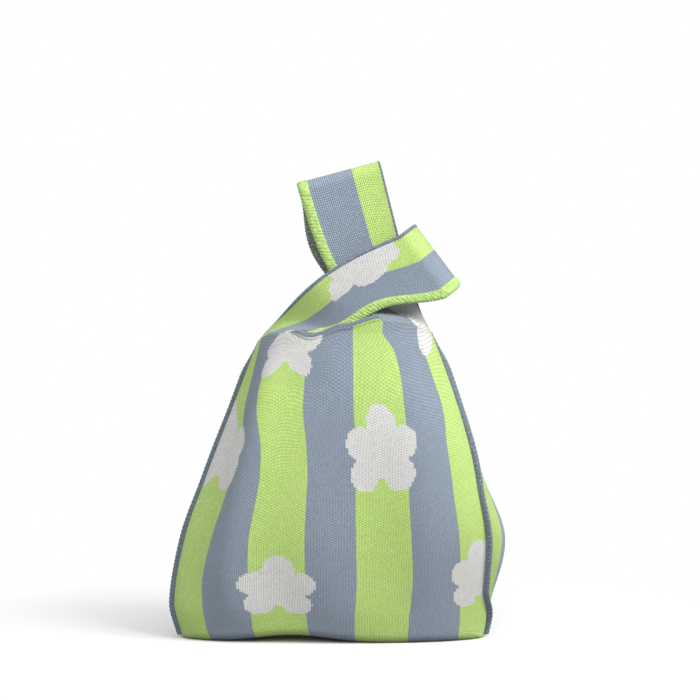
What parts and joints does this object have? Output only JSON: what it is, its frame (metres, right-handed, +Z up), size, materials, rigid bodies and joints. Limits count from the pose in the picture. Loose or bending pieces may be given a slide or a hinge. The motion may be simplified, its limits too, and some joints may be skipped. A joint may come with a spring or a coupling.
{
  "type": "knot bag",
  "caption": "Knitted knot bag: a striped soft pouch whose one strap loops round the other, which stands up through it as a wrist loop and draws the mouth shut.",
  "frame": {"origin": "middle of the bag's footprint, on the surface it stands on", "axes": "+Z up, the front panel faces -Y, +X to the viewer's right"},
  "size_m": [0.2228, 0.096, 0.3184],
  "materials": {
    "lime_knit": "matte double knit, lime stripes on slate with white blossoms",
    "slate_knit": "matte double knit, slate and lime stripes",
    "lime_edge": "matte chunky knit edge",
    "slate_seam": "matte linked seam"
  },
  "bodies": {
    "bag": {"front_panel": "lime_knit", "back_panel": "lime_knit", "left_side_seam": "slate_seam", "right_side_seam": "slate_seam", "front_mouth_hem": "slate_seam", "back_mouth_hem": "slate_seam"},
    "strap_roots": {"keeper_root_front": "slate_knit", "keeper_root_back": "slate_knit", "wrist_root_front": "slate_knit", "wrist_root_back": "slate_knit"},
    "keeper_loop": {"keeper_loop_band": "slate_knit", "keeper_loop_mouth_edge": "lime_edge", "keeper_loop_outer_binding": "slate_seam"},
    "wrist_loop": {"wrist_loop_band": "slate_knit", "wrist_loop_mouth_edge": "lime_edge", "wrist_loop_outer_binding": "slate_seam"}
  },
  "joints": [
    {"name": "knot_flop", "type": "hinge", "parent": "bag", "child": "strap_roots", "pos_m": [0, 0, 0.21], "axis": [1, 0, 0], "range_deg": [-20, 20], "deforming": ["keeper_root_front", "keeper_root_back", "wrist_root_front", "wrist_root_back"]},
    {"name": "keeper_lift", "type": "hinge", "parent": "strap_roots", "child": "keeper_loop", "pos_m": [-0.047, 0, 0.202], "axis": [0, -1, 0], "range_deg": [-2, 3], "deforming": ["keeper_root_front", "keeper_root_back"]},
    {"name": "wrist_lean", "type": "hinge", "parent": "strap_roots", "child": "wrist_loop", "pos_m": [0.052, 0, 0.21], "axis": [0, -1, 0], "range_deg": [-2, 8], "deforming": ["wrist_root_front", "wrist_root_back"]}
  ]
}
